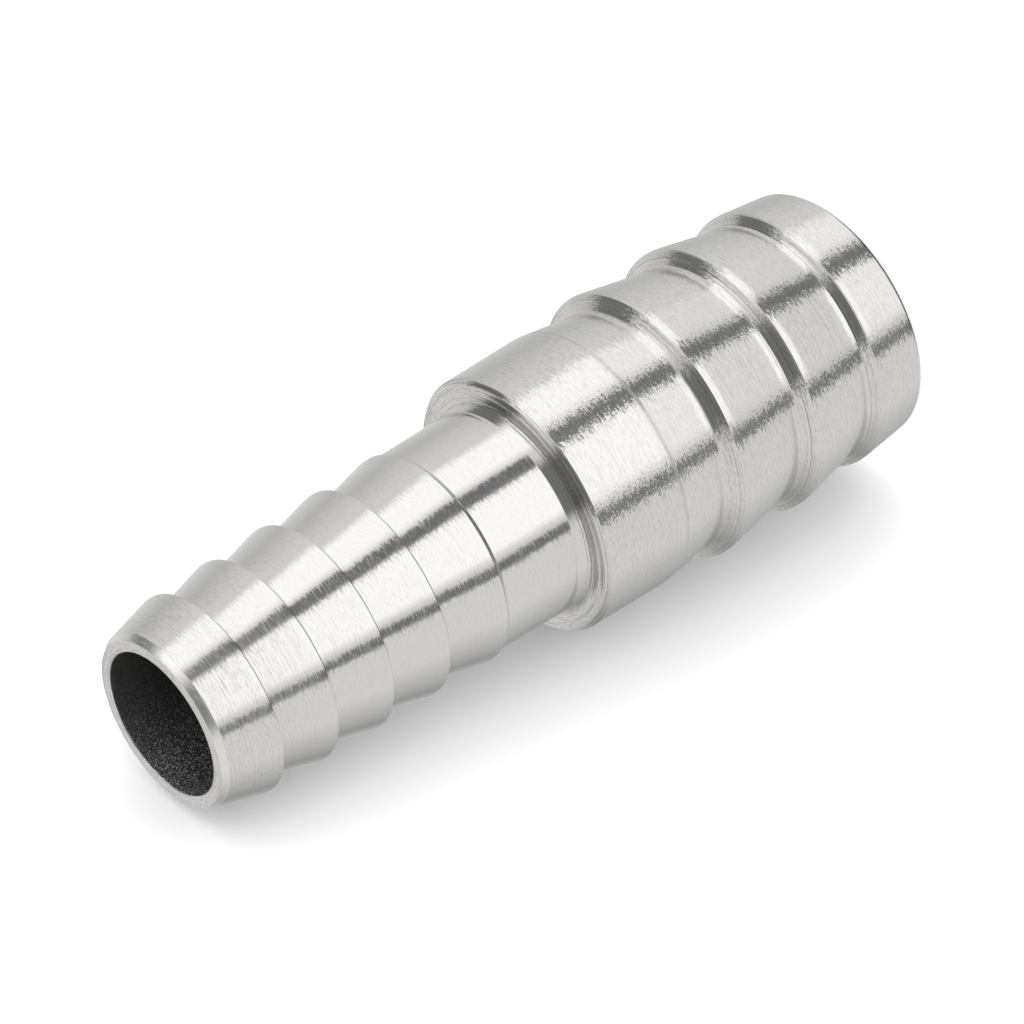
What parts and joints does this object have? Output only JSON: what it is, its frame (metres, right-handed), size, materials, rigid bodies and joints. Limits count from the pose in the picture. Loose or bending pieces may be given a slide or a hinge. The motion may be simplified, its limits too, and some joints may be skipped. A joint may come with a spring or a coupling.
{
  "type": "hose barb reducer",
  "caption": "Straight turned hose reducer with a slim barbed tail, a plain neck and collar, and a wider barbed tail, bored through.",
  "frame": {"origin": "centre of the big end's rim, on the surface that the reducer stands on", "axes": "+Z along the part's axis from the big rim to the small tip; X and Y are any two directions across it, because the part is round"},
  "size_m": [0.0178, 0.0178, 0.0522],
  "materials": {
    "steel": "turned stainless steel, lightly brushed"
  },
  "bodies": {
    "root": {"reducer_body": "steel"}
  },
  "joints": []
}
